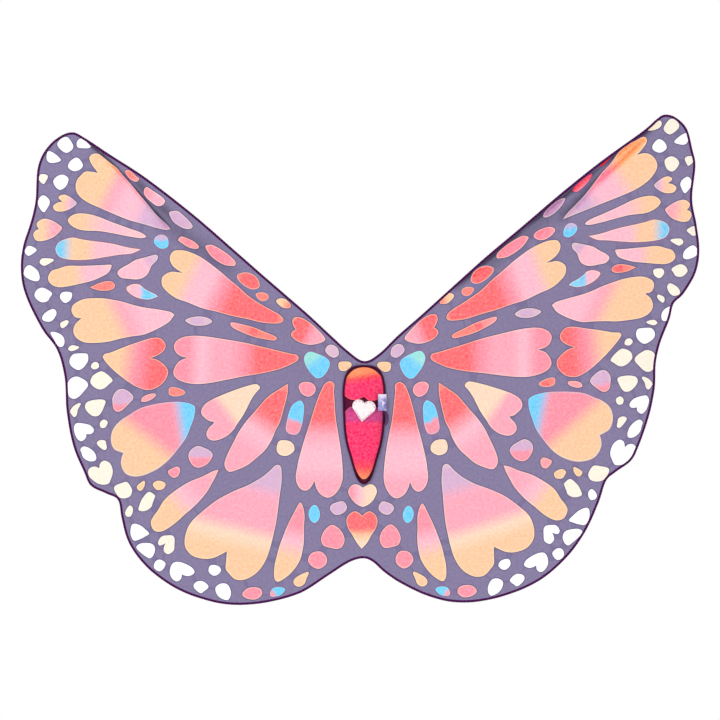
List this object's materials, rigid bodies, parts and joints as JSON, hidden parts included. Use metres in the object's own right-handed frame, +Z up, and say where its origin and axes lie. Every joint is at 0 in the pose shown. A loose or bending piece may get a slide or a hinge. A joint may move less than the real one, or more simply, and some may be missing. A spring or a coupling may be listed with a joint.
{
  "type": "butterfly fairy wings",
  "caption": "Child's printed cloth butterfly wings with a padded body, elastic shoulder straps and a hand loop at each tip.",
  "frame": {"origin": "centre of the backing patch's rear face, behind the padded body, where the wings rest on the wearer's back", "axes": "+X across the wings to the wearer's right, which is also the right-hand side as one looks at the print; +Y into the wearer's back; +Z up as worn"},
  "size_m": [1.1531, 0.1212, 0.8334],
  "materials": {
    "wing_cloth": "printed woven polyester",
    "hem_thread": "overlocked thread",
    "body_satin": "printed satin",
    "wadding": "polyester wadding",
    "plum_cloth": "matt woven polyester",
    "badge_weave": "woven badge",
    "badge_thread": "sewing thread",
    "label_satin": "satin ribbon",
    "lilac_cloth": "matt woven polyester",
    "elastic": "ribbed woven elastic",
    "bartack_thread": "dense stitching",
    "care_satin": "satin label"
  },
  "bodies": {
    "centre": {"centre_panel": "wing_cloth", "neck_hem": "hem_thread", "tail_hem": "hem_thread", "body_cover": "body_satin", "body_filling": "wadding", "body_back": "plum_cloth", "body_edging": "hem_thread", "heart_badge": "badge_weave", "badge_stitches": "badge_thread", "ribbon_loop": "plum_cloth", "backing_patch": "lilac_cloth", "left_shoulder_strap": "elastic", "right_shoulder_strap": "elastic", "left_strap_bartacks": "bartack_thread", "right_strap_bartacks": "bartack_thread"},
    "left_wing": {"left_wing_panel": "wing_cloth", "left_wing_hem": "hem_thread", "left_tip_patch": "lilac_cloth", "left_loop_tab": "elastic", "left_loop_bartack": "bartack_thread"},
    "right_wing": {"right_wing_panel": "wing_cloth", "right_wing_hem": "hem_thread", "right_tip_patch": "lilac_cloth", "right_loop_tab": "elastic", "right_loop_bartack": "bartack_thread"},
    "left_loop": {"left_hand_loop": "elastic"},
    "right_loop": {"right_hand_loop": "elastic"},
    "label": {"side_label": "label_satin"},
    "care": {"care_label": "care_satin"}
  },
  "joints": [
    {"name": "left_wing_fold", "type": "hinge", "parent": "centre", "child": "left_wing", "pos_m": [-0.075, -0.0015, 0], "axis": [0, 0, 1], "range_deg": [-85, 85]},
    {"name": "right_wing_fold", "type": "hinge", "parent": "centre", "child": "right_wing", "pos_m": [0.075, -0.0015, 0], "axis": [0, 0, -1], "range_deg": [-85, 85]},
    {"name": "left_loop_swing", "type": "hinge", "parent": "left_wing", "child": "left_loop", "pos_m": [-0.498, 0.003, 0.42385], "axis": [1, 0, 0], "range_deg": [0, 110]},
    {"name": "right_loop_swing", "type": "hinge", "parent": "right_wing", "child": "right_loop", "pos_m": [0.511, 0.003, 0.45185], "axis": [1, 0, 0], "range_deg": [0, 110]},
    {"name": "side_label_flip", "type": "hinge", "parent": "centre", "child": "label", "pos_m": [0.0384, -0.006, -0.004], "axis": [0, 0, 1], "range_deg": [-10, 120]},
    {"name": "care_label_flip", "type": "hinge", "parent": "centre", "child": "care", "pos_m": [0, -0.0001, -0.18], "axis": [1, 0, 0], "range_deg": [0, 120]}
  ]
}
